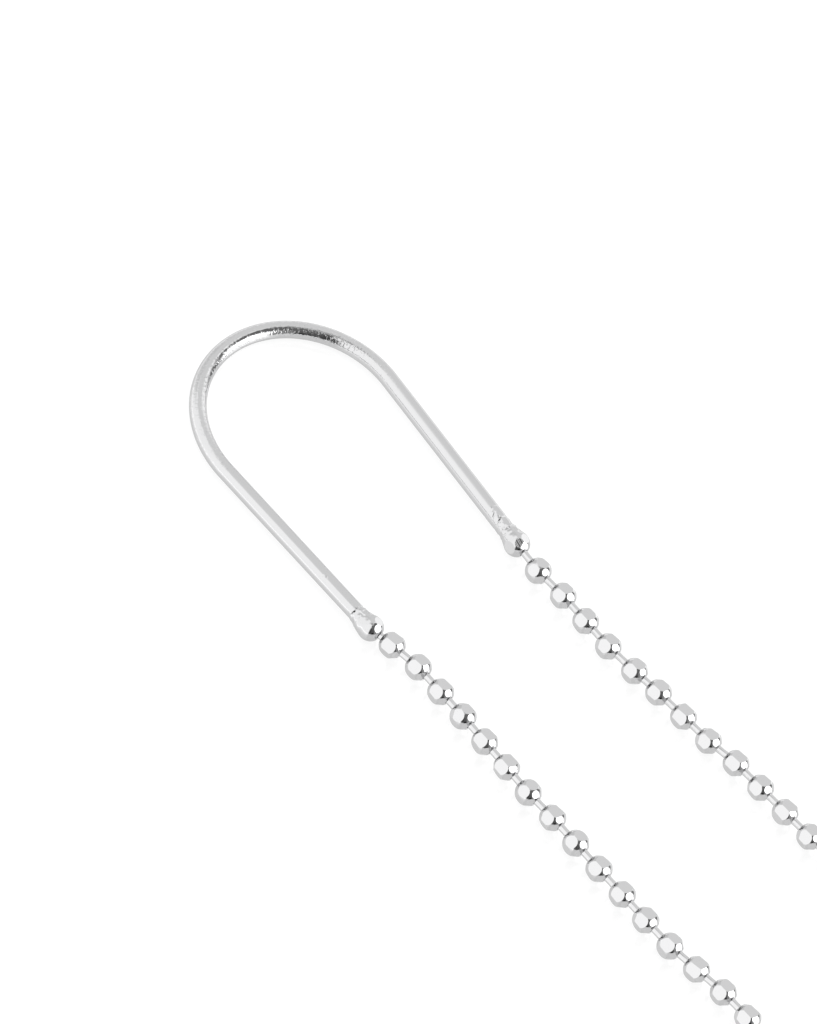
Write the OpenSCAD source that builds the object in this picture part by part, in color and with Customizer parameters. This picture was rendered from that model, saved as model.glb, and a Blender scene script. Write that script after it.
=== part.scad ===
// Threader earring: a U-shaped ear wire with a diamond-cut ball chain on each leg.
// It lies flat. The bend of the U points along +Y, the chains run along -Y and +Z is up.
// The origin is the middle of the footprint, on the surface that the earring lies on.

/* [Ear wire] */
// Diameter of the round wire, of the ear wire and of the threading post
wire_d = 0.8; // [0.6:0.05:0.9]
// Distance between the wire's centre lines where the legs meet the bend
bend_w = 9.82; // [8:0.02:12]
// Length of a leg, from the bend to the centre of its soldered ball
leg_l = 9.78; // [6:0.02:14]
// Angle by which each leg leans towards the other
toe_in = 3; // [0:0.5:6]
// Diameter of the soldered ball at the end of a leg
ball_d = 1.2; // [1.2:0.02:1.3]
// Radius of the hollow curve that the solder makes between the wire and the ball
flare_r = 1.6; // [0.8:0.1:2]

/* [Beads] */
// Diameter of a bead over its round parts
bead_d = 1.2; // [1.1:0.02:1.24]
// Diameter of the hollow inside a bead
hollow_d = 0.84; // [0.8:0.02:0.88]
// Diameter of the hole that a link passes through
hole_d = 0.42; // [0.4:0.01:0.44]

/* [Links] */
// Diameter of the bar between two beads
bar_d = 0.32; // [0.24:0.02:0.32]
// Diameter of the head at each end of the bar
head_d = 0.5; // [0.48:0.01:0.52]
// Thickness of a head
head_t = 0.14; // [0.1:0.02:0.16]
// Distance from a bead's centre to the head inside it
head_gap = 0.06; // [0.05:0.01:0.08]

/* [Threading post] */
// Length of the post, from the centre of its soldered ball to the centre of its round tip
post_l = 12; // [8:0.5:16]

/* [Hidden] */
$fn = 96;
SILVER = [0.86, 0.86, 0.87];

wire_r = wire_d / 2;
bend_r = bend_w / 2;
ball_r = ball_d / 2;
bead_r = bead_d / 2;

// How a chain lies, one row for each stretch of like links, from the ear wire outwards.
// Heading is in degrees from -Y towards +X, and pitch is from one bead's centre to the next.
LINKS = 0;
HEADING = 1;
PITCH = 2;
left_run = [
    [1, 14, 1.24],
    [1, 12, 1.52],
    [2, 3, 1.50],
    [3, 1, 1.51],
    [1, 5, 1.56],
    [4, 3, 1.54],
    [1, 4, 1.58],
    [2, 11, 1.54],
    [1, 5, 1.54],
];
right_run = [
    [1, -2, 1.60],
    [1, 6, 1.60],
    [2, 2, 1.55],
    [1, 8, 1.62],
    [1, 10, 1.44],
    [2, 7, 1.56],
    [1, 13, 1.58],
    [3, 6, 1.55],
    [1, 5, 1.60],
];

// Rings of flat diamond cuts on a bead. Latitude is from the bead's equator towards the next bead,
// turn is the first cut's place round the link, and depth is the flat's distance from the centre
// as a share of the radius.
LATITUDE = 0;
COUNT = 1;
TURN = 2;
DEPTH = 3;
cut_rings = [
    [-4, 6, 139, 0.85],
    [40, 6, 100, 0.945],
    [-42, 6, 109, 0.94],
];
// Largest turn of one bead against the next about the chain
bead_twist = 5;

// Lie of the ear wire: the bend and both balls touch the surface, so the legs rise to the balls
leg_end = [
    bend_r * cos(toe_in) - leg_l * sin(toe_in),
    -bend_r * sin(toe_in) - leg_l * cos(toe_in)
];
wire_tilt = asin((ball_r - wire_r) / (bend_r - leg_end.y));
left_start = [-leg_end.x, leg_end.y * cos(wire_tilt), ball_r];
right_start = [leg_end.x, leg_end.y * cos(wire_tilt), ball_r];

// Lie of a chain: each link's heading and pitch, then the centre of each bead after the ball
function per_link(run, column) = [for (row = run) for (k = [1 : row[LINKS]]) row[column]];
function sum_to(list, last) = last < 0 ? 0 : list[last] + sum_to(list, last - 1);
function along(run, pick) = [
    for (k = [0 : len(pick) - 1]) per_link(run, PITCH)[k] * pick[k]
];
function centres(start, run) =
    let (
        headings = per_link(run, HEADING),
        across = along(run, [for (h = headings) sin(h)]),
        down = along(run, [for (h = headings) -cos(h)])
    )
    concat([start], [
        for (k = [0 : len(headings) - 1])
            [start.x + sum_to(across, k), start.y + sum_to(down, k), bead_r]
    ]);

left_centres = centres(left_start, left_run);
right_beads_and_post = centres(right_start, right_run);
last_right = len(right_beads_and_post) - 1;
post_start = [right_beads_and_post[last_right].x, right_beads_and_post[last_right].y, ball_r];
right_centres = concat(
    [for (k = [0 : last_right - 1]) right_beads_and_post[k]],
    [post_start]
);
left_beads = len(left_centres) - 1;
right_beads = len(right_centres) - 2;

// The post goes on in the last link's heading, and its tip comes down to the surface
post_heading = per_link(right_run, HEADING)[last_right - 1];
post_fall = asin((ball_r - wire_r) / post_l);
post_way = [
    sin(post_heading) * cos(post_fall),
    -cos(post_heading) * cos(post_fall),
    -sin(post_fall)
];
post_tip = post_start + post_l * post_way;

// Footprint, which sets the origin
x_low = min([-bend_r - wire_r, for (c = left_centres) c.x - bead_r]);
x_high = max([bend_r + wire_r, post_tip.x + wire_r, for (c = right_centres) c.x + bead_r]);
y_low = min([post_tip.y - wire_r, for (c = left_centres) c.y - bead_r]);
y_high = bend_r * cos(wire_tilt) + wire_r;
footprint_centre = [(x_low + x_high) / 2, (y_low + y_high) / 2, 0];

// The bend's wire is a hair thinner than the legs and runs a hair into them, so that they fuse
bend_step = 0.004;
bend_lap = 0.02;

// A little less than touching, so that the solder's curve crosses the wire and the ball
overlap = 0.01;
flare_x = wire_r + flare_r - overlap;
flare_h = sqrt(pow(ball_r + flare_r - overlap, 2) - pow(flare_x, 2));
flare_foot = flare_h * ball_r / (ball_r + flare_r);

function two_digits(n) = n < 10 ? str("0", n) : str(n);
function bead_name(side, n) = str("bead_", side, "_", two_digits(n));

// Turns +Z to point along way
module aim(way) {
    rotate([90 - asin(way.z / norm(way)), 0, atan2(way.x, -way.y)]) children();
}

module from_footprint() {
    translate(-footprint_centre) children();
}

// Solder between a ball at the origin and a wire along +Z
module flare() {
    rotate_extrude() difference() {
        translate([0, flare_foot]) square([flare_x, flare_h - flare_foot]);
        translate([flare_x, flare_h]) circle(r = flare_r);
    }
}

module soldered_ball() {
    sphere(d = ball_d);
    flare();
}

// The hole that a link leaves a hollow bead or ball by, from its centre outwards
module link_hole(way) {
    aim(way) cylinder(d = hole_d, h = bead_d);
}

// Bend and legs in the plane z = 0, with the bend's centre at the origin
module flat_ear_wire() {
    rotate_extrude(start = -toe_in, angle = 180 + 2 * toe_in)
        translate([bend_r, 0]) circle(d = wire_d - bend_step);
    for (side = [0, 1]) mirror([side, 0, 0])
        translate([leg_end.x, leg_end.y, 0]) rotate([-90, 0, -toe_in]) {
            cylinder(d = wire_d, h = leg_l + bend_lap);
            soldered_ball();
        }
}

module ear_wire() {
    color(SILVER) from_footprint() difference() {
        translate([0, 0, wire_r + bend_r * sin(wire_tilt)]) rotate([-wire_tilt, 0, 0]) flat_ear_wire();
        for (points = [left_centres, right_centres]) translate(points[0]) {
            sphere(d = hollow_d);
            link_hole(points[1] - points[0]);
        }
    }
}

module diamond_cuts(twist) {
    for (ring = cut_rings) for (k = [0 : ring[COUNT] - 1])
        rotate([0, 90 - ring[LATITUDE], ring[TURN] + twist + k * 360 / ring[COUNT]])
            translate([-bead_r, -bead_r, ring[DEPTH] * bead_r]) cube(bead_d);
}

// Bead n of a chain. The last bead of all has no link beyond it, so it is closed there.
module chain_bead(points, n) {
    back = points[n - 1] - points[n];
    ahead = n + 1 < len(points) ? points[n + 1] - points[n] : -back;
    ways = n + 1 < len(points) ? [back, ahead] : [back];
    lie = ahead / norm(ahead) - back / norm(back);
    color(SILVER) from_footprint() translate(points[n]) difference() {
        aim([lie.x, lie.y, 0]) difference() {
            sphere(d = bead_d);
            diamond_cuts(bead_twist * sin(n * 100));
            sphere(d = hollow_d);
        }
        for (way = ways) link_hole(way);
    }
}

module link(from, to) {
    bar_l = norm(to - from) - 2 * head_gap;
    translate(from) aim(to - from) translate([0, 0, head_gap]) {
        cylinder(d = bar_d, h = bar_l);
        cylinder(d = head_d, h = head_t);
        translate([0, 0, bar_l - head_t]) cylinder(d = head_d, h = head_t);
    }
}

module chain_links(points) {
    color(SILVER) from_footprint()
        for (k = [0 : len(points) - 2]) link(points[k], points[k + 1]);
}

module thread_post() {
    color(SILVER) from_footprint() translate(post_start) difference() {
        aim(post_way) {
            soldered_ball();
            cylinder(d = wire_d, h = post_l);
            translate([0, 0, post_l]) sphere(d = wire_d);
        }
        sphere(d = hollow_d);
        link_hole(right_centres[right_beads] - post_start);
    }
}

ear_wire();
for (n = [1 : left_beads])
    chain_bead(left_centres, n);
for (n = [1 : right_beads])
    chain_bead(right_centres, n);
chain_links(left_centres);  // links_left
chain_links(right_centres);  // links_right
thread_post();
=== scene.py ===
"""Looks of the threader earring: polished silver wire and diamond-cut ball chain on a pale floor.

Mesh code works in millimetres and is scaled to metres when a piece is finished.
"""

import math
import random

import bmesh
import bpy
from mathutils import Matrix, Vector, noise


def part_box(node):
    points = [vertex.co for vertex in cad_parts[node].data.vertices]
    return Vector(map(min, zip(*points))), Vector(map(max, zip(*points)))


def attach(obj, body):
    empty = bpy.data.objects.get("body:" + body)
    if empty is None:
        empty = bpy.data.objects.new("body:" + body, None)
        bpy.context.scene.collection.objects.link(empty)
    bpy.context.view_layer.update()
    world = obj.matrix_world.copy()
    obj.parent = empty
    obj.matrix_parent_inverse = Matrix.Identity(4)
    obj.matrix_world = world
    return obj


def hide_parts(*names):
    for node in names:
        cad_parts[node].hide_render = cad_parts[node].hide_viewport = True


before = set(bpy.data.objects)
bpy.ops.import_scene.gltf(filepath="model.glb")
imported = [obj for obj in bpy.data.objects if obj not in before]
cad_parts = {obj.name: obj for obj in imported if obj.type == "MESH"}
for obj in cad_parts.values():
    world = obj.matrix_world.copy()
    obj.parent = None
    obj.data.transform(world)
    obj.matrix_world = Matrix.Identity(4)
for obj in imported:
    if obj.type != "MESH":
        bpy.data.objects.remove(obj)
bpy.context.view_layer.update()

# Sizes of the real pieces. All lengths here are in millimetres, and MM is one in metres.
MM = 0.001
WIRE_R = 0.4
BALL_R = 0.6
FLARE_R = 1.6
TOE_IN = math.radians(3)
BEAD_R = 0.6
HOLLOW_R = 0.42
HOLE_R = 0.205
LIP_R = 0.04
BAR_R = 0.178
WAIST_R = 0.165
HEAD_R = 0.25
HEAD_T = 0.14
HEAD_GAP = 0.06

# How finely round things are meshed
WIRE_SIDES = 48
WIRE_STEP = 0.08
JOINT_STEP = 0.03
BALL_STEPS = 22
FLARE_STEPS = 24
TIP_STEPS = 10
POST_STEPS = 40
BEAD_SIDES = 64
BEAD_RINGS = 32
HOLE_SIDES = 32
LIP_STEPS = 9
LINK_SIDES = 24
BAR_STEPS = 16

# Edges sharper than this are drawn sharp, in degrees
BEAD_SHARP = 14
JOINT_SHARP = 24
TURNED_SHARP = 30

# Corners of a cut mesh that are closer than this are joined
SLIVER = 5e-4
# Faces further than this from a bead's centre aren't cut by its flats, and those past the second limit
# keep their own normals. That leaves the wire beyond a soldered ball alone.
CUT_REACH = 1.3 * BEAD_R
NORMAL_REACH = 1.2 * BEAD_R
# Corners of a CAD mesh that are closer than this are one corner
WELD = 1e-4

random.seed(7)
UP = Vector((0, 0, 1))


# Places, worked out from the frame


def node_box(node):
    """Lowest and highest corner of a CAD node, in millimetres."""
    low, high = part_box(node)
    return Vector(low) / MM, Vector(high) / MM


def loose_parts(mesh):
    """The corner points of each loose part of a mesh, in millimetres."""
    bm = bmesh.new()
    bm.from_mesh(mesh)
    bmesh.ops.remove_doubles(bm, verts=bm.verts, dist=WELD * MM)
    bm.verts.index_update()
    left = {vert.index: vert for vert in bm.verts}
    parts = []
    while left:
        waiting = [left.pop(next(iter(left)))]
        part = []
        while waiting:
            vert = waiting.pop()
            part.append(vert.co / MM)
            for edge in vert.link_edges:
                other = edge.other_vert(vert)
                if other.index in left:
                    waiting.append(left.pop(other.index))
        parts.append(part)
    bm.free()
    return parts


def middle_of(points):
    return sum(points, Vector()) / len(points)


def bar_ends(points):
    """The middle of the flat end of each head of a bar, the end nearer the ear wire first."""
    middle = middle_of(points)
    far = max(points, key=lambda p: (p - middle).length)
    halves = [[p for p in points if side * (p - middle).dot(far - middle) > 0] for side in (1, -1)]
    way = (middle_of(halves[0]) - middle_of(halves[1])).normalized()
    ends = []
    for side in (1, -1):
        reach = max(side * (p - middle).dot(way) for p in points)
        ends.append(middle_of([p for p in points if side * (p - middle).dot(way) > reach - HEAD_T / 4]))
    return sorted(ends, key=lambda p: -p.y)


def chain_centres(node):
    """Centres of the ball and the beads that a chain's bars join, from the ear wire outwards."""
    bars = sorted((bar_ends(p) for p in loose_parts(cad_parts[node].data)), key=lambda b: -b[0].y)
    ways = [(end - start).normalized() for start, end in bars]
    return [bars[0][0] - HEAD_GAP * ways[0]] + [b[1] + HEAD_GAP * w for b, w in zip(bars, ways)]


left_centres = chain_centres("links_left")
right_centres = chain_centres("links_right")

wire_low, wire_high = node_box("ear_wire")
bend_r = (wire_high.x - wire_low.x) / 2 - WIRE_R
bend_x = (wire_high.x + wire_low.x) / 2
apex_y = wire_high.y - WIRE_R
tilt = math.atan2(left_centres[0].z - WIRE_R, apex_y - left_centres[0].y)
bend_y = apex_y - bend_r * math.cos(tilt)
leg_drop = (bend_y - left_centres[0].y) / math.cos(tilt)
leg_l = (leg_drop - bend_r * math.sin(TOE_IN)) / math.cos(TOE_IN)


# Mesh helpers


def as_mesh(name, bm):
    mesh = bpy.data.meshes.new(name)
    bm.to_mesh(mesh)
    bm.free()
    return mesh


def mesh_object(name, bm):
    """A linked object that holds the mesh, still in millimetres."""
    thing = bpy.data.objects.new(name, as_mesh(name, bm))
    bpy.context.collection.objects.link(thing)
    return thing


def frame_along(way):
    """Rotation whose Z points along way, with Y as near up as it can be."""
    z = way.normalized()
    x = UP.cross(z).normalized()
    y = z.cross(x)
    return Matrix((x, y, z)).transposed()


def tube(rings, sides):
    """A closed tube through rings, each a list of sides points."""
    bm = bmesh.new()
    rows = [[bm.verts.new(p) for p in ring] for ring in rings]
    for a, b in zip(rows, rows[1:]):
        for k in range(sides):
            n = (k + 1) % sides
            bm.faces.new((a[k], a[n], b[n], b[k]))
    for row, flip in ((rows[0], True), (rows[-1], False)):
        centre = bm.verts.new(sum((v.co for v in row), Vector()) / sides)
        for k in range(sides):
            n = (k + 1) % sides
            corners = (row[n], row[k], centre) if flip else (row[k], row[n], centre)
            bm.faces.new(corners)
    bmesh.ops.recalc_face_normals(bm, faces=bm.faces)
    return bm


def lathe(start, way, profile, sides):
    """A turned solid about the line from start along way. The profile's rows are distance and radius."""
    turn = frame_along(way)
    rings = []
    for distance, radius in profile:
        rings.append([
            start + turn @ Vector((
                radius * math.cos(2 * math.pi * k / sides),
                radius * math.sin(2 * math.pi * k / sides),
                distance,
            ))
            for k in range(sides)
        ])
    return tube(rings, sides)


def round_ball(centre, radius, turn, sides, rings):
    bm = bmesh.new()
    bmesh.ops.create_uvsphere(bm, u_segments=sides, v_segments=rings, radius=radius)
    bmesh.ops.transform(bm, matrix=Matrix.Translation(centre) @ turn.to_4x4(), verts=bm.verts)
    return bm


# A hole's rounded lip is a ring of this radius at this distance from the bead's centre
LIP_RING_R = HOLE_R + LIP_R
LIP_DISTANCE = math.sqrt((BEAD_R - LIP_R) ** 2 - LIP_RING_R**2)
# The lip's curve ends this angle before it touches the bead's own round, and the cutter goes straight on
# from there for this length
LIP_SHORT = math.radians(7)
CUTTER_END = 0.3


def hole_cutter(centre, way):
    """A link's hole from inside the hollow outwards, with a rounded lip where it leaves the bead."""
    last = math.pi / 2 + math.asin(LIP_RING_R / (BEAD_R - LIP_R)) - LIP_SHORT
    profile = [(HOLLOW_R / 2, HOLE_R)]
    for k in range(LIP_STEPS + 1):
        angle = last * k / LIP_STEPS
        profile.append((LIP_DISTANCE + LIP_R * math.sin(angle), LIP_RING_R - LIP_R * math.cos(angle)))
    distance, radius = profile[-1]
    slope = last - math.pi / 2
    wide = radius + CUTTER_END * math.cos(slope)
    profile.append((distance - CUTTER_END * math.sin(slope), wide))
    profile.append((2 * BEAD_R, wide))
    return lathe(centre, way, profile, HOLE_SIDES)


def without_slivers(bm):
    """Joins corners closer together than SLIVER, and takes out faces that are thinner or folded flat."""
    bmesh.ops.remove_doubles(bm, verts=bm.verts, dist=SLIVER)
    bmesh.ops.dissolve_degenerate(bm, edges=bm.edges, dist=SLIVER)
    # A thin triangle's area is its height times a quarter of its perimeter
    folded = [
        f for f in bm.faces
        if any(len(e.link_faces) > 2 for e in f.edges)
        and f.calc_area() < SLIVER * f.calc_perimeter() / 4
    ]
    bmesh.ops.delete(bm, geom=folded, context="FACES")


def in_clean_triangles(bm):
    """Cuts every face into triangles and takes out the slivers that this shows up."""
    bmesh.ops.triangulate(bm, faces=bm.faces)
    without_slivers(bm)


def in_fixed_order(mesh):
    """A mesh's corners and faces, sorted by place because the boolean's order varies from run to run."""
    places = [tuple(v.co) for v in mesh.vertices]
    order = sorted(range(len(places)), key=lambda i: places[i])
    rank = {old: new for new, old in enumerate(order)}
    faces = []
    for face in mesh.polygons:
        corners = [rank[v] for v in face.vertices]
        first = corners.index(min(corners))
        faces.append(corners[first:] + corners[:first])
    return [places[i] for i in order], sorted(faces)


def drilled(bm, centre, ways):
    """The solid with its hollow and the holes that links leave by taken out of it, as a mesh."""
    in_clean_triangles(bm)
    solid = mesh_object("solid", bm)
    tools = [round_ball(centre, HOLLOW_R, frame_along(ways[0]), HOLE_SIDES, HOLE_SIDES // 2)]
    tools += [hole_cutter(centre, way) for way in ways]
    cutters = [mesh_object("cutter", tool) for tool in tools]
    for cutter in cutters:
        cut = solid.modifiers.new("cut", "BOOLEAN")
        cut.operation, cut.solver, cut.object = "DIFFERENCE", "EXACT", cutter
    depsgraph = bpy.context.evaluated_depsgraph_get()
    mesh = bpy.data.meshes.new_from_object(solid.evaluated_get(depsgraph))
    for thing in [solid] + cutters:
        bpy.data.objects.remove(thing)
    corners, faces = in_fixed_order(mesh)
    mesh.clear_geometry()
    mesh.from_pydata(corners, [], faces)
    rest = bmesh.new()
    rest.from_mesh(mesh)
    in_clean_triangles(rest)
    rest.to_mesh(mesh)
    rest.free()
    return mesh


def slice_off(bm, centre, normal, depth):
    """Cuts a flat into the faces near centre, at depth from it."""
    near = [
        f for f in bm.faces
        if (f.verts[0].co - centre).length < CUT_REACH
        and any((v.co - centre).dot(normal) > depth for v in f.verts)
    ]
    parts = near + [e for f in near for e in f.edges] + [v for f in near for v in f.verts]
    geom = list(dict.fromkeys(parts))
    cut = bmesh.ops.bisect_plane(
        bm, geom=geom, dist=SLIVER, plane_co=centre + depth * normal, plane_no=normal, clear_outer=True
    )
    edges = [e for e in cut["geom_cut"] if isinstance(e, bmesh.types.BMEdge)]
    if edges:
        bmesh.ops.contextual_create(bm, geom=edges)
    without_slivers(bm)


def finish_piece(name, mesh, materials, nodes, sharp_deg=None):
    """Scales a mesh to metres, shades it smooth with sharp edges and puts it in the nodes' place."""
    mesh.transform(Matrix.Scale(MM, 4))
    slots = [face.material_index for face in mesh.polygons]
    mesh.materials.clear()
    for each in materials:
        mesh.materials.append(each)
    mesh.polygons.foreach_set("material_index", slots)
    piece = bpy.data.objects.new(name, mesh)
    bpy.context.collection.objects.link(piece)
    mesh.shade_smooth()
    if sharp_deg:
        mesh.set_sharp_from_angle(angle=math.radians(sharp_deg))
    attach(piece, "root")
    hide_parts(*nodes)
    return piece


# Materials

# The range that most of a noise texture's values lie in
NOISE_LOW, NOISE_HIGH = 0.35, 0.65
# The gloss varies in patches this many times as wide as the grain of the surface
GLOSS_PATCH = 6
# Silver's blue is this many times as bright as its red and its green
BLUE_TINGE = 1.008
# Bending marks on the wire: size and depth, the noise that shows, and half the length of their fading
SPECK_SIZE = 0.12
SPECK_DEPTH = 0.005
SPECK_LOW, SPECK_HIGH = 0.5, 0.66
SPECK_FADE = 2
# Scratches: the wave texture's own scale for a spacing of one, their spacing and depth, how much they
# waver, and the part of the wave that shows
WAVE_SCALE = 0.314
SCRATCH_SPACING = 0.15
SCRATCH_DEPTH = 0.05
SCRATCH_WAVER = 1.2
SCRATCH_LOW, SCRATCH_HIGH = 0.5, 0.9


def link_nodes(tree, *pairs):
    for source, target in pairs:
        tree.links.new(source, target)


def math_node(tree, operation, *values, clamp=False):
    node = tree.nodes.new("ShaderNodeMath")
    node.operation = operation
    node.use_clamp = clamp
    for socket, value in zip(node.inputs, values):
        if isinstance(value, bpy.types.NodeSocket):
            tree.links.new(value, socket)
        else:
            socket.default_value = value
    return node.outputs[0]


def soft_step(tree, value, low, high):
    """0 where value is under low, 1 where it is over high, and smooth between them."""
    node = tree.nodes.new("ShaderNodeMapRange")
    node.interpolation_type = "SMOOTHSTEP"
    tree.links.new(value, node.inputs["Value"])
    node.inputs["From Min"].default_value = low
    node.inputs["From Max"].default_value = high
    return node.outputs["Result"]


def noise_texture(tree, vector, size_mm, detail):
    texture = tree.nodes.new("ShaderNodeTexNoise")
    texture.inputs["Scale"].default_value = 1 / (size_mm * MM)
    texture.inputs["Detail"].default_value = detail
    link_nodes(tree, (vector, texture.inputs["Vector"]))
    return texture.outputs["Fac"]


def bumped(tree, height, depth_mm, normal=None):
    bump = tree.nodes.new("ShaderNodeBump")
    bump.inputs["Strength"].default_value = 1.0
    bump.inputs["Distance"].default_value = depth_mm * MM
    link_nodes(tree, (height, bump.inputs["Height"]))
    if normal:
        link_nodes(tree, (normal, bump.inputs["Normal"]))
    return bump.outputs["Normal"]


def silver(name, brightness, rough, rough_spread, grain, grain_mm, worn_bend=False, scratches=False):
    """Polished silver with a fine grain in its gloss and its surface.

    The surface's grain is grain deep and grain_mm wide, both in millimetres.
    """
    material = bpy.data.materials.new(name)
    material.use_nodes = True
    tree = material.node_tree
    shader = tree.nodes["Principled BSDF"]
    shader.inputs["Base Color"].default_value = (brightness, brightness, brightness * BLUE_TINGE, 1)
    shader.inputs["Metallic"].default_value = 1.0
    shader.inputs["Specular Tint"].default_value = (0.85, 0.85, 0.85, 1)

    place = tree.nodes.new("ShaderNodeTexCoord").outputs["Object"]
    spread = tree.nodes.new("ShaderNodeMapRange")
    spread.inputs["From Min"].default_value = NOISE_LOW
    spread.inputs["From Max"].default_value = NOISE_HIGH
    spread.inputs["To Min"].default_value = rough - rough_spread
    spread.inputs["To Max"].default_value = rough + rough_spread
    link_nodes(
        tree,
        (noise_texture(tree, place, GLOSS_PATCH * grain_mm, 4), spread.inputs["Value"]),
        (spread.outputs["Result"], shader.inputs["Roughness"]),
    )
    normal = bumped(tree, noise_texture(tree, place, grain_mm, 3), grain)
    if worn_bend:
        normal = bend_specks(tree, place, normal)
    if scratches:
        normal = scratch_lines(tree, place, normal)
    link_nodes(tree, (normal, shader.inputs["Normal"]))
    return material


def bend_specks(tree, place, normal):
    """The pitted skin that bending leaves on the wire, which fades out down the legs."""
    axes = tree.nodes.new("ShaderNodeSeparateXYZ")
    link_nodes(tree, (place, axes.inputs[0]))
    on_bend = soft_step(tree, axes.outputs["Y"], (bend_y - SPECK_FADE) * MM, (bend_y + SPECK_FADE) * MM)
    specks = soft_step(tree, noise_texture(tree, place, SPECK_SIZE, 2), SPECK_LOW, SPECK_HIGH)
    return bumped(tree, math_node(tree, "MULTIPLY", specks, on_bend), SPECK_DEPTH, normal)


def scratch_lines(tree, place, normal):
    """Wavering lines across X, scratched into the surface."""
    lines = tree.nodes.new("ShaderNodeTexWave")
    lines.bands_direction = "X"
    lines.inputs["Scale"].default_value = WAVE_SCALE / (SCRATCH_SPACING * MM)
    lines.inputs["Distortion"].default_value = SCRATCH_WAVER
    lines.inputs["Detail Scale"].default_value = 0.5
    link_nodes(tree, (place, lines.inputs["Vector"]))
    height = soft_step(tree, lines.outputs["Fac"], SCRATCH_LOW, SCRATCH_HIGH)
    return bumped(tree, height, SCRATCH_DEPTH, normal)


# Brightness, roughness and its spread, then the depth and the width of the grain
wire_silver = silver("drawn_silver", 0.54, 0.07, 0.03, 0.0016, 0.12, worn_bend=True)
bead_silver = silver("tumbled_silver", 0.54, 0.09, 0.03, 0.0012, 0.1)
cut_silver = silver("diamond_cut_silver", 0.57, 0.05, 0.02, 0.0003, 0.12)
link_silver = silver("link_silver", 0.56, 0.06, 0.02, 0.0008, 0.1)
scratched_silver = silver("scratched_silver", 0.54, 0.09, 0.03, 0.0015, 0.1, scratches=True)
# The hole lip's silver is painted brighter than the rest, a painted highlight for the light that bounces
# between bead, bar and lip
lip_silver_painted_bright = silver("hole_lip_silver_painted_bright", 0.75, 0.07, 0.02, 0.0008, 0.1)

# Material slots after a piece's first one
OTHER_SILVERS = [cut_silver, scratched_silver, lip_silver_painted_bright]
CUT, SCRATCHED, LIP = 1, 2, 3


# Ear wire


def on_wire(u, v):
    """A point of the ear wire's own plane, from the bend's centre, in the part's frame."""
    return Vector((
        bend_x + u,
        bend_y + v * math.cos(tilt),
        WIRE_R + (bend_r - v) * math.sin(tilt),
    ))


def ball_and_flare():
    """Distance from the ball's centre up the wire, with the radius there, from the ball's tip."""
    top = math.sqrt((BALL_R + FLARE_R) ** 2 - (WIRE_R + FLARE_R) ** 2)
    foot = top * BALL_R / (BALL_R + FLARE_R)
    profile = []
    low, high = -math.pi / 2, math.asin(foot / BALL_R)
    for k in range(1, BALL_STEPS + 1):
        angle = low + (high - low) * k / BALL_STEPS
        profile.append((BALL_R * math.sin(angle), BALL_R * math.cos(angle)))
    for k in range(1, FLARE_STEPS + 1):
        distance = foot + (top - foot) * k / FLARE_STEPS
        profile.append((distance, WIRE_R + FLARE_R - math.sqrt(FLARE_R**2 - (top - distance) ** 2)))
    return profile


def wire_stations():
    """Points on the wire's centre line with the way it goes there and its radius, ball to ball."""
    start = Vector((bend_r * math.cos(TOE_IN), -bend_r * math.sin(TOE_IN)))
    down = Vector((-math.sin(TOE_IN), -math.cos(TOE_IN)))
    half = []
    profile = ball_and_flare()
    for distance, radius in profile:
        half.append((leg_l - distance, radius))
    solder_end = leg_l - SOLDER_REACH
    start_of_wire = leg_l - profile[-1][0]
    steps = int((start_of_wire - solder_end) / JOINT_STEP)
    for k in range(1, steps + 1):
        half.append((start_of_wire - (start_of_wire - solder_end) * k / steps, WIRE_R))
    steps = int(solder_end / WIRE_STEP)
    for k in range(1, steps + 1):
        half.append((solder_end * (1 - k / steps), WIRE_R))
    leg = []
    for along, radius in half:
        place = start + along * down
        leg.append((place, -down, radius))
    bend = []
    swing = math.pi + 2 * TOE_IN
    steps = int(bend_r * swing / WIRE_STEP)
    for k in range(1, steps):
        angle = -TOE_IN + swing * k / steps
        bend.append((
            Vector((bend_r * math.cos(angle), bend_r * math.sin(angle))),
            Vector((-math.sin(angle), math.cos(angle))),
            WIRE_R,
        ))
    other = []
    for place, way, radius in reversed(leg):
        other.append((Vector((-place.x, place.y)), Vector((way.x, -way.y)), radius))
    return leg + bend + other


# Solder on a joint starts and ends at these distances up the wire from the ball's centre, and it fades
# in over this length
SOLDER_START = 0.05
SOLDER_REACH = 3.4
SOLDER_FADE = 0.25
# Seams are grooves round the wire: distance from the ball's centre, width and depth. They lie aslant
# and ragged by these lengths. A seam slants another way further up, by this turn in radians for each
# millimetre. Fineness is that of the noise along the wire and round it.
SEAM_SLANT = 0.05
SEAM_TURN = 5
SEAM_RAGGED = 0.07
SEAM_FINENESS = (8, 3.5)
SEAMS = {
    "right": ((1.26, 0.06, 0.014), (1.92, 0.05, 0.009)),
    "left": ((0.94, 0.06, 0.012),),
}
# The swallowed beads' flats: latitude towards the next bead and turn about the chain from straight up
# towards +X in degrees, distance from the centre as a share of the radius, and material slot
BALL_FLATS = {
    "right": ((40, -8, 0.958, CUT), (21, -20, 0.938, SCRATCHED), (4, -76, 0.88, CUT), (14, 22, 0.92, CUT)),
    "left": ((36, -12, 0.957, CUT), (16, 22, 0.93, CUT)),
}
# Lumps of solder: distance from the ball's centre, turn about the wire from straight up towards outside
# the U in degrees, length, width and height
LUMPS = {
    "right": (
        (0.62, 60, 0.3, 0.22, 0.05),
        (0.9, 10, 0.16, 0.12, 0.02),
        (0.45, -60, 0.2, 0.2, 0.03),
        (1.45, -20, 0.12, 0.1, 0.012),
    ),
    "left": (
        (0.55, 40, 0.25, 0.25, 0.05),
        (0.45, 80, 0.2, 0.2, 0.04),
        (0.7, -20, 0.16, 0.14, 0.03),
        (0.5, 115, 0.3, 0.3, 0.05),
    ),
}
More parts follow.
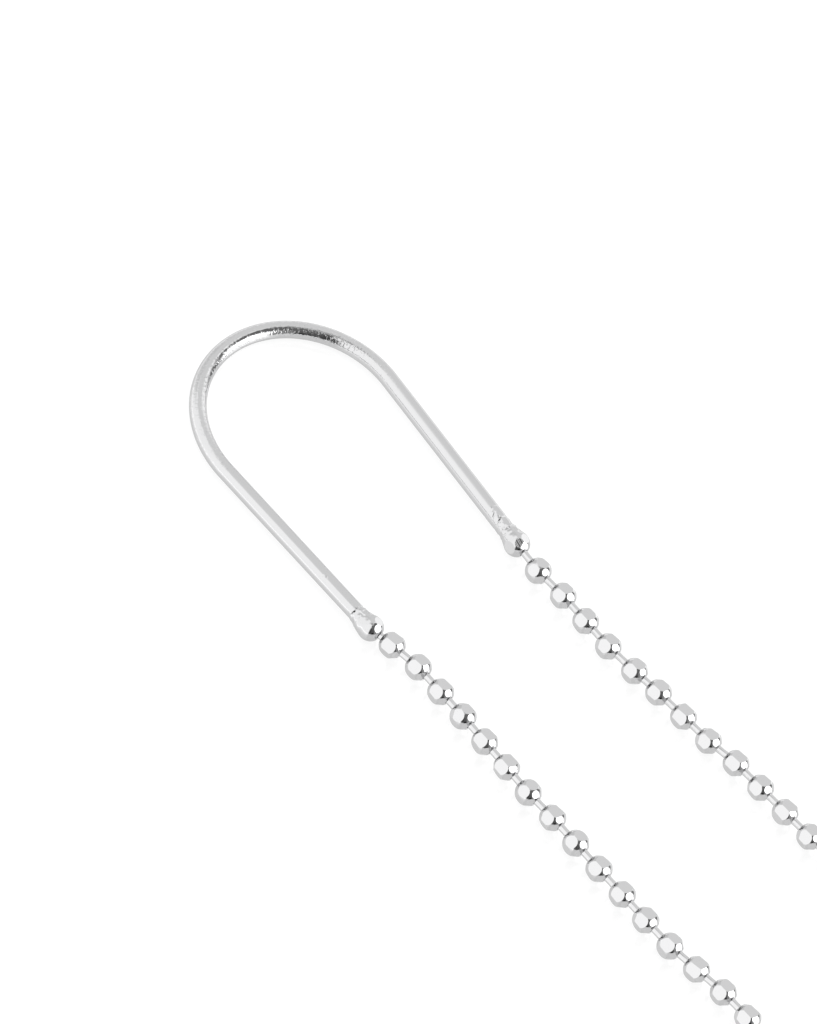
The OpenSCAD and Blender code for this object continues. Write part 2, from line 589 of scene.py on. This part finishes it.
# Nicks: distance from the ball's centre, turn as for the lumps, slant from along the wire in degrees,
# length, width and depth
NICKS = {
    "right": (
        (1.58, -42, 55, 0.3, 0.05, 0.035),
        (1.74, -22, -35, 0.22, 0.05, 0.03),
        (1.42, -15, 40, 0.2, 0.05, 0.03),
        (1.24, -35, 80, 0.3, 0.05, 0.03),
        (1.1, -40, 15, 0.3, 0.06, 0.035),
        (0.8, -50, -20, 0.25, 0.06, 0.025),
    ),
    "left": (
        (0.66, 16, 6, 0.42, 0.06, 0.04),
        (0.55, 46, -14, 0.3, 0.05, 0.03),
        (0.95, 55, 75, 0.35, 0.05, 0.03),
        (3.1, 30, 60, 0.16, 0.05, 0.012),
        (2.96, 18, -40, 0.14, 0.05, 0.01),
    ),
}
# Ripples are highest at this distance from the ball's centre, and die out this far on both sides
RIPPLE_MIDDLE = 0.7
RIPPLE_REACH = 0.6
RIPPLE_HEIGHT = 0.045
RIPPLE_FINENESS = (6, 2.5)


def around_wire(turn, lean):
    """Length round the wire from a lean in degrees to a turn in radians, the shorter way."""
    return ((turn - math.radians(lean) + math.pi) % (2 * math.pi) - math.pi) * WIRE_R


def uneven(distance, turn, along, round_about):
    """Noise over the joint's surface, with the given fineness along the wire and round it."""
    return noise.noise(Vector((
        along * distance,
        round_about * math.cos(turn),
        round_about * math.sin(turn),
    )))


def solder_height(side, distance, turn):
    """How far solder stands out from the plain joint, at a distance up the wire and a turn about it."""
    height = 0.0
    for at, width, depth in SEAMS[side]:
        slant = SEAM_SLANT * math.sin(turn + at * SEAM_TURN)
        ragged = SEAM_RAGGED * uneven(at, turn, *SEAM_FINENESS)
        off = (distance - at - slant - ragged) / width
        height -= depth * math.exp(-off * off)
    for at, lean, length, breadth, rise in LUMPS[side]:
        off = ((distance - at) / length) ** 2 + (around_wire(turn, lean) / breadth) ** 2
        height += rise * math.exp(-off)
    for at, lean, slant, length, width, depth in NICKS[side]:
        up_wire, round_wire = distance - at, around_wire(turn, lean)
        slope = math.radians(slant)
        lengthwise = (up_wire * math.cos(slope) + round_wire * math.sin(slope)) / length
        crosswise = (round_wire * math.cos(slope) - up_wire * math.sin(slope)) / width
        height -= depth * math.exp(-(4 * lengthwise**2) - 4 * crosswise**2)
    ripple = RIPPLE_HEIGHT * max(0.0, 1 - abs(distance - RIPPLE_MIDDLE) / RIPPLE_REACH)
    return height + ripple * uneven(distance, turn, *RIPPLE_FINENESS)


def wire_ring(place, way, radius, side, joint):
    """The wire's section at a place on its centre line, with the solder of the joint on that side."""
    centre = on_wire(place.x, place.y)
    ahead = on_wire(place.x + way.x, place.y + way.y) - centre
    outward = on_wire(place.x + way.y, place.y - way.x) - centre
    lift = outward.cross(ahead)
    outward, lift = outward.normalized(), lift.normalized()
    distance = (centre - joint).dot(ahead)
    distance = distance if side == "right" else -distance
    ring = []
    for k in range(WIRE_SIDES):
        angle = 2 * math.pi * k / WIRE_SIDES
        height = 0.0
        if SOLDER_START < distance < SOLDER_REACH:
            height = solder_height(side, distance, math.atan2(math.cos(angle), math.sin(angle)))
            height *= min(1.0, (distance - SOLDER_START) / SOLDER_FADE)
        out = math.cos(angle) * outward + math.sin(angle) * lift
        ring.append(centre + (radius + height) * out)
    return ring


def ear_wire():
    stations = wire_stations()
    rings = []
    for index, (place, way, radius) in enumerate(stations):
        side, centres = ("right", right_centres) if index < len(stations) / 2 else ("left", left_centres)
        rings.append(wire_ring(place, way, radius, side, centres[0]))
    bm = tube(rings, WIRE_SIDES)
    joints = []
    for side, centres in (("left", left_centres), ("right", right_centres)):
        centre, way = centres[0], centres[1] - centres[0]
        turn = frame_along(way)
        planes = []
        for lat, psi, depth, slot in BALL_FLATS[side]:
            planes.append((turn @ bead_way(lat, psi), depth * BEAD_R, slot))
        for facing, depth, slot in planes:
            slice_off(bm, centre, facing, depth)
        joints.append((centre, planes, [way]))
    for centre, planes, ways in joints:
        mesh = drilled(bm, centre, ways)
        bm = bmesh.new()
        bm.from_mesh(mesh)
    bm.free()
    normals = smooth_normals(mesh, JOINT_SHARP)
    for centre, planes, ways in joints:
        set_normals(mesh, normals, centre, planes, ways)
    piece = finish_piece("silver_ear_wire", mesh, [wire_silver, *OTHER_SILVERS], ["ear_wire"])
    piece.data.normals_split_custom_set(normals)


# Chain

# Flat cuts round the middle and on the front of a bead: latitude towards the next bead and turn about
# the chain from straight up towards +X, in degrees, and the flat's distance from the centre as a share
# of the radius
CUTS = (
    (-4, -105, 0.855),
    (-4, -49, 0.850),
    (-4, 7, 0.840),
    (-4, 64, 0.85),
    (-4, 122, 0.85),
    (-4, 180, 0.85),
    (38, -10, 0.96),
    (54, -72, 0.942),
    (40, 52, 0.95),
    (42, 112, 0.95),
    (42, 170, 0.95),
    (42, -130, 0.95),
)
# Flats on the back all lie at this share of the radius. A set of them is a latitude and some turns, and
# the beads take the sets one after another.
BACK_DEPTH = 0.945
BACK_CUTS = (
    (-40, (-70, 50, 110, 170, -130)),
    (-42, (80, 140, -160)),
    (-42, (-98, 52, 112, 172, -158)),
    (-52, (-70, 50, 110, 170, -130)),
)
# Each bead's flats round its middle, counted from the ear wire: wide, normal or small. Each kind moves
# them outwards by this share of the radius.
FLATS = {"left": "wnnswwsnsnnnnwnw", "right": "snnnnnwnwnwn"}
MOVED_OUT = {"w": -0.03, "n": 0.0, "s": 0.03}
# Spread of a bead's turn and of its flats' ways in degrees, and of the flats' depths as a share of the
# radius, round the middle and elsewhere. Flats under this latitude are round the middle.
TWIST_SPREAD = 3
WAY_SPREAD = 2
MIDDLE_SPREAD, OTHER_SPREAD = 0.012, 0.006
MIDDLE_LATITUDE = 10
# A corner that is this close to a surface lies on it
ON_SURFACE = 2e-3


def bead_way(lat, psi):
    """The way that a latitude and a turn, both in degrees, point in a bead's own frame."""
    latitude, turn = math.radians(lat), math.radians(90 - psi)
    return Vector((
        math.cos(latitude) * math.cos(turn),
        math.cos(latitude) * math.sin(turn),
        math.sin(latitude),
    ))


def cut_planes(number, side):
    """The way that each flat of a bead faces, in the bead's own frame, and its depth."""
    planes = []
    back_lat, back_turns = BACK_CUTS[number % len(BACK_CUTS)]
    back_cuts = tuple((back_lat, psi, BACK_DEPTH) for psi in back_turns)
    twist = random.gauss(0, TWIST_SPREAD)
    for lat, psi, depth in CUTS + back_cuts:
        spread = OTHER_SPREAD
        if abs(lat) < MIDDLE_LATITUDE:
            spread = MIDDLE_SPREAD
            depth += MOVED_OUT[FLATS[side][number - 1]]
        facing = bead_way(lat + random.gauss(0, WAY_SPREAD), psi + twist + random.gauss(0, WAY_SPREAD))
        planes.append((facing, (depth + random.uniform(-spread, spread)) * BEAD_R))
    return planes


def lip_normal(corner, ways):
    """The way that a hole's lip or wall faces at a corner on it, or None if it is on neither."""
    for way in ways:
        along = corner.dot(way)
        if along <= 0:
            continue
        out = corner - along * way
        if along < LIP_DISTANCE + ON_SURFACE / 2 and abs(out.length - HOLE_R) < ON_SURFACE:
            return -out.normalized()
        from_ring = corner - LIP_DISTANCE * way - LIP_RING_R * out.normalized()
        if out.length < LIP_RING_R + LIP_R and abs(from_ring.length - LIP_R) < 1.25 * ON_SURFACE:
            return from_ring.normalized()
    return None


def smooth_normals(mesh, sharp_deg):
    """The normal at each corner of each face, smooth but over the sharp edges."""
    mesh.shade_smooth()
    mesh.set_sharp_from_angle(angle=math.radians(sharp_deg))
    return [Vector(n.vector) for n in mesh.corner_normals]


def set_normals(mesh, normals, centre, planes, ways):
    """Flats and holes get their own materials, and they and the round rest get exact normals."""
    ways = [way.normalized() for way in ways]
    for face in mesh.polygons:
        if (mesh.vertices[face.vertices[0]].co - centre).length > NORMAL_REACH:
            continue
        corners = [mesh.vertices[v].co - centre for v in face.vertices]
        for facing, depth, slot in planes:
            if all(abs(c.dot(facing) - depth) < 2 * SLIVER for c in corners):
                face.material_index = slot
                for loop in face.loop_indices:
                    normals[loop] = facing
                break
        else:
            on_lip = [lip_normal(c, ways) for c in corners]
            if all(on_lip):
                # The lip takes the silver painted brighter, a painted highlight for the light bounced into
                # the hole
                face.material_index = LIP
                for loop, normal in zip(face.loop_indices, on_lip):
                    normals[loop] = normal
            elif all(abs(c.length - BEAD_R) < ON_SURFACE for c in corners):
                for loop, corner in zip(face.loop_indices, corners):
                    normals[loop] = corner.normalized()


def chain_bead(side, number, centres):
    centre = centres[number]
    back = (centres[number - 1] - centre).normalized()
    ways = [back]
    lie = -back
    if number + 1 < len(centres):
        ahead = (centres[number + 1] - centre).normalized()
        ways.append(ahead)
        lie = ahead - back
    lie.z = 0
    turn = frame_along(lie)
    bm = round_ball(centre, BEAD_R, turn, BEAD_SIDES, BEAD_RINGS)
    planes = [(turn @ facing, depth, CUT) for facing, depth in cut_planes(number, side)]
    for facing, depth, slot in planes:
        slice_off(bm, centre, facing, depth)
    mesh = drilled(bm, centre, ways)
    normals = smooth_normals(mesh, BEAD_SHARP)
    set_normals(mesh, normals, centre, planes, ways)
    name = f"bead_{side}_{number:02d}"
    piece = finish_piece(f"silver_{name}", mesh, [bead_silver, *OTHER_SILVERS], [name])
    piece.data.normals_split_custom_set(normals)


# A head's edge is rounded off by this much, and the bar's waist starts this far from a bead's centre
HEAD_EDGE = 0.02
HEAD_FACE_R = 0.9 * HEAD_R
WAIST_START = 0.45


def link_profile(length):
    """Distance from the first bead's centre and radius of a link whose beads lie length apart."""
    near, far = HEAD_GAP, length - HEAD_GAP
    inner = [
        (near, HEAD_FACE_R),
        (near + HEAD_EDGE, HEAD_R),
        (near + HEAD_T, HEAD_R),
        (near + HEAD_T, BAR_R),
    ]
    bar = []
    for k in range(BAR_STEPS + 1):
        distance = WAIST_START + (length - 2 * WAIST_START) * k / BAR_STEPS
        off_middle = 2 * k / BAR_STEPS - 1
        bar.append((distance, WAIST_R + (BAR_R - WAIST_R) * off_middle**2))
    outer = [
        (far - HEAD_T, BAR_R),
        (far - HEAD_T, HEAD_R),
        (far - HEAD_EDGE, HEAD_R),
        (far, HEAD_FACE_R),
    ]
    return inner + bar + outer


def chain_links(side, centres):
    bm = bmesh.new()
    for start, end in zip(centres, centres[1:]):
        bar = lathe(start, end - start, link_profile((end - start).length), LINK_SIDES)
        mesh = as_mesh("bar", bar)
        bm.from_mesh(mesh)
        bpy.data.meshes.remove(mesh)
    name = f"links_{side}"
    finish_piece(f"silver_{name}", as_mesh(name, bm), [link_silver], [name], sharp_deg=TURNED_SHARP)


def thread_post():
    low, high = node_box("thread_post")
    start = right_centres[-1]
    tip = Vector((high.x - WIRE_R, low.y + WIRE_R, WIRE_R))
    length = (tip - start).length
    profile = ball_and_flare()
    foot = profile[-1][0]
    profile += [(foot + (length - foot) * k / POST_STEPS, WIRE_R) for k in range(1, POST_STEPS + 1)]
    for k in range(1, TIP_STEPS):
        angle = math.pi / 2 * k / TIP_STEPS
        profile.append((length + WIRE_R * math.sin(angle), WIRE_R * math.cos(angle)))
    bm = lathe(start, tip - start, profile, WIRE_SIDES)
    mesh = drilled(bm, start, [right_centres[-2] - start])
    finish_piece("silver_thread_post", mesh, [wire_silver], ["thread_post"], sharp_deg=TURNED_SHARP)


ear_wire()
for number in range(1, len(left_centres)):
    chain_bead("left", number, left_centres)
for number in range(1, len(right_centres) - 1):
    chain_bead("right", number, right_centres)
chain_links("left", left_centres)
chain_links("right", right_centres)
thread_post()


# Studio: what the silver mirrors, as soft cards round the earring, each over the ones before it.
# Azimuth is from +X towards +Y and elevation from the floor up, in degrees, with a soft edge of the
# given width. ROOM is the radiance where no card is.
AZIMUTH, HALF_WIDTH, BOTTOM, TOP, EDGE, RADIANCE = range(6)
ROOM = 1.09
CARDS = (
    (130, 56, -90, 67, 14, 1.52),
    (180, 36, -90, 80, 14, 1.58),
    (78, 18, -20, 40, 20, 0.95),
    (-2, 11, -30, 62, 16, 1.6),
    (-90, 180, 80, 95, 8, 0.6),
    (-118, 31, -10, 78, 9, 0.15),
    (-70, 62, 44, 76, 10, 0.21),
    (-24, 8, -42, 52, 9, 0.26),
    (-97, 6, 4, 42, 6, 0.45),
    (-137, 7, 10, 62, 8, 0.08),
    (-117, 8, -4, 15, 6, 0.02),
    (-88, 4, -24, 4, 6, 0.3),
    (-152, 12, 52, 86, 12, 1.4),
    (-59, 22, -95, 36, 9, 3.6),
    (-61, 13, 20, 43, 9, 3.6),
)


def studio_world():
    world = bpy.data.worlds.new("studio")
    bpy.context.scene.world = world
    world.use_nodes = True
    tree = world.node_tree
    background = tree.nodes["Background"]
    place = tree.nodes.new("ShaderNodeTexCoord")
    axes = tree.nodes.new("ShaderNodeSeparateXYZ")
    tree.links.new(place.outputs["Generated"], axes.inputs[0])
    azimuth = math_node(tree, "ARCTAN2", axes.outputs["Y"], axes.outputs["X"])
    elevation = math_node(tree, "ARCSINE", axes.outputs["Z"])
    light = ROOM
    for card in CARDS:
        edge = math.radians(card[EDGE]) / 2
        half = math.radians(card[HALF_WIDTH])
        bottom, top = math.radians(card[BOTTOM]), math.radians(card[TOP])
        off = math_node(tree, "SUBTRACT", azimuth, math.radians(card[AZIMUTH]))
        off = math_node(tree, "ABSOLUTE", math_node(tree, "WRAP", off, math.pi, -math.pi))
        across = soft_step(tree, math_node(tree, "MULTIPLY", off, -1.0), -half - edge, edge - half)
        over = soft_step(tree, elevation, bottom - edge, bottom + edge)
        under = soft_step(tree, math_node(tree, "MULTIPLY", elevation, -1.0), -top - edge, edge - top)
        share = math_node(tree, "MULTIPLY", across, math_node(tree, "MULTIPLY", over, under))
        mix = tree.nodes.new("ShaderNodeMix")
        tree.links.new(share, mix.inputs["Factor"])
        if isinstance(light, float):
            mix.inputs["A"].default_value = light
        else:
            tree.links.new(light, mix.inputs["A"])
        mix.inputs["B"].default_value = card[RADIANCE]
        light = mix.outputs["Result"]
    tree.links.new(light, background.inputs["Strength"])
    background.inputs["Color"].default_value = (1, 1, 1, 1)


# Half the floor's width, the lamp's width and its height, in metres
FLOOR_HALF = 3.0
LAMP_WIDTH = 1.2
LAMP_HEIGHT = 0.8


def floor():
    bm = bmesh.new()
    signs = ((-1, -1), (1, -1), (1, 1), (-1, 1))
    bm.faces.new([bm.verts.new((x * FLOOR_HALF, y * FLOOR_HALF, 0)) for x, y in signs])
    thing = mesh_object("floor", bm)
    material = bpy.data.materials.new("pale_floor")
    material.use_nodes = True
    shader = material.node_tree.nodes["Principled BSDF"]
    shader.inputs["Base Color"].default_value = (0.16, 0.16, 0.16, 1)
    shader.inputs["Roughness"].default_value = 0.12
    shader.inputs["Specular IOR Level"].default_value = 0.9
    shader.inputs["Emission Color"].default_value = (1, 1, 1, 1)
    shader.inputs["Emission Strength"].default_value = 0.82
    thing.data.materials.append(material)


def floor_light():
    """A wide soft lamp overhead that whitens the floor. The silver doesn't mirror it."""
    lamp = bpy.data.lights.new("overhead", "AREA")
    lamp.shape, lamp.size = "DISK", LAMP_WIDTH
    lamp.energy = 2.2
    thing = bpy.data.objects.new("overhead", lamp)
    thing.location = (0, 0, LAMP_HEIGHT)
    thing.visible_glossy = False
    bpy.context.collection.objects.link(thing)


studio_world()
floor()
floor_light()


# Camera: aim point from the bend's centre, and the photo's angle in degrees

AIM = Vector((1.443, -5.993, 0))
VIEW_AZIMUTH, VIEW_FALL, VIEW_ROLL = (math.radians(a) for a in (28, 53.5, 27))
VIEW_DISTANCE = 400
LENS = 395.9
SENSOR = 36


def camera():
    az, fall, roll = VIEW_AZIMUTH, VIEW_FALL, VIEW_ROLL
    forward = Vector((math.cos(az) * math.cos(fall), math.sin(az) * math.cos(fall), -math.sin(fall)))
    level = Vector((math.sin(az), -math.cos(az), 0))
    above = level.cross(forward)
    right = math.cos(roll) * level + math.sin(roll) * above
    up = math.cos(roll) * above - math.sin(roll) * level
    lens = bpy.data.cameras.new("camera")
    lens.sensor_fit = "HORIZONTAL"
    lens.sensor_width = SENSOR
    lens.lens = LENS
    lens.clip_start, lens.clip_end = 0.01, 10
    thing = bpy.data.objects.new("camera", lens)
    place = Vector((bend_x, bend_y, 0)) + AIM - VIEW_DISTANCE * forward
    turn = Matrix((right, up, -forward)).transposed().to_4x4()
    thing.matrix_world = Matrix.Translation(place * MM) @ turn
    bpy.context.collection.objects.link(thing)
    bpy.context.scene.camera = thing


camera()
bpy.context.scene.view_settings.view_transform = "Standard"
